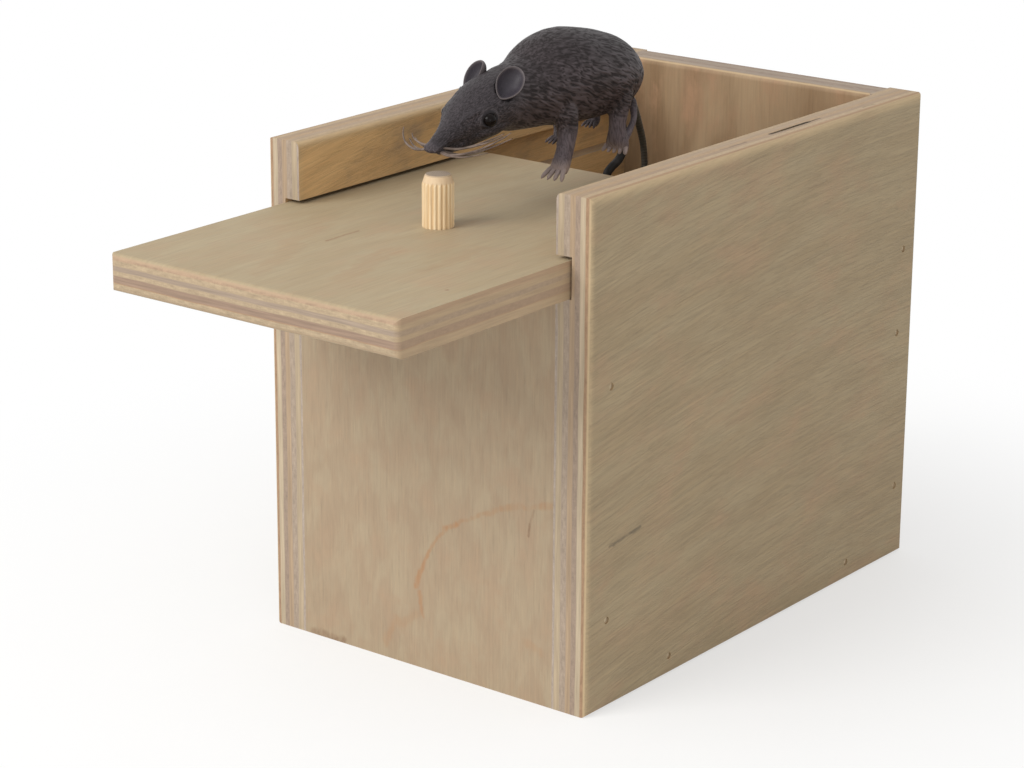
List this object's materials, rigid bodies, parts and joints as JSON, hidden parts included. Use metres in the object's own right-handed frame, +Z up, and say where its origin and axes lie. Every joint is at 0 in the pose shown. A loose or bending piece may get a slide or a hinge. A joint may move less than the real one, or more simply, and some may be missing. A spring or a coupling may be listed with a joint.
{
  "type": "sliding-lid surprise box with sprung mouse",
  "caption": "Plywood box with a grooved sliding lid and dowel knob; a spring wire arm inside lifts a rubber mouse over the lid as it opens.",
  "frame": {"origin": "centre of the box's bottom face, on the surface that it stands on", "axes": "+Z up, -Y the way that the lid opens and the mouse looks, +X to the right as seen by someone who faces the front panel"},
  "size_m": [0.108, 0.227, 0.1677],
  "materials": {
    "side_plywood": "sanded plywood with open edges, unvarnished",
    "panel_plywood": "plywood with upright face grain, unvarnished",
    "lid_plywood": "sanded plywood, unvarnished",
    "dowel_wood": "plain hardwood dowel",
    "nail_steel": "dull steel",
    "rod_steel": "plain steel rod",
    "spring_steel": "drawn spring wire",
    "sleeve_rubber": "smooth black tube",
    "fur_rubber": "moulded fur, satin",
    "skin_rubber": "smooth satin",
    "tail_rubber": "ringed, satin",
    "eye_plastic": "glossy black bead",
    "whisker_rubber": "thick moulded hairs"
  },
  "bodies": {
    "box": {"left_side_board": "side_plywood", "right_side_board": "side_plywood", "front_panel": "panel_plywood", "back_panel": "panel_plywood", "bottom_panel": "panel_plywood", "front_nails": "nail_steel", "back_nails": "nail_steel", "bottom_nails": "nail_steel", "pivot_rod": "rod_steel", "torsion_spring": "spring_steel", "spring_staple": "spring_steel"},
    "lid": {"lid": "lid_plywood", "lid_knob": "dowel_wood", "lid_stop_peg": "dowel_wood"},
    "mouse": {"lift_wire": "spring_steel", "wire_sleeve": "sleeve_rubber", "mouse_body": "fur_rubber", "mouse_head": "fur_rubber", "left_ear": "skin_rubber", "right_ear": "skin_rubber", "left_eye": "eye_plastic", "right_eye": "eye_plastic", "left_whiskers": "whisker_rubber", "right_whiskers": "whisker_rubber", "front_left_leg": "skin_rubber", "front_right_leg": "skin_rubber", "rear_left_leg": "skin_rubber", "rear_right_leg": "skin_rubber", "tail": "tail_rubber"}
  },
  "joints": [
    {"name": "lid_slide", "type": "slide", "parent": "box", "child": "lid", "axis": [0, 1, 0], "range_m": [0, 0.067]},
    {"name": "mouse_swing", "type": "hinge", "parent": "box", "child": "mouse", "pos_m": [0, -0.033, 0.072], "axis": [1, 0, 0], "range_deg": [-95, 0], "stiffness_Nm_per_rad": 0.03, "springref_deg": 34.38, "deforming": ["torsion_spring", "mouse_body", "mouse_head", "left_ear", "right_ear", "left_eye", "right_eye", "left_whiskers", "right_whiskers", "front_left_leg", "front_right_leg", "rear_left_leg", "rear_right_leg"]}
  ],
  "couplings": [
    {"joint": "mouse_swing", "follows": "lid_slide", "rad_per_m": -24.747}
  ]
}
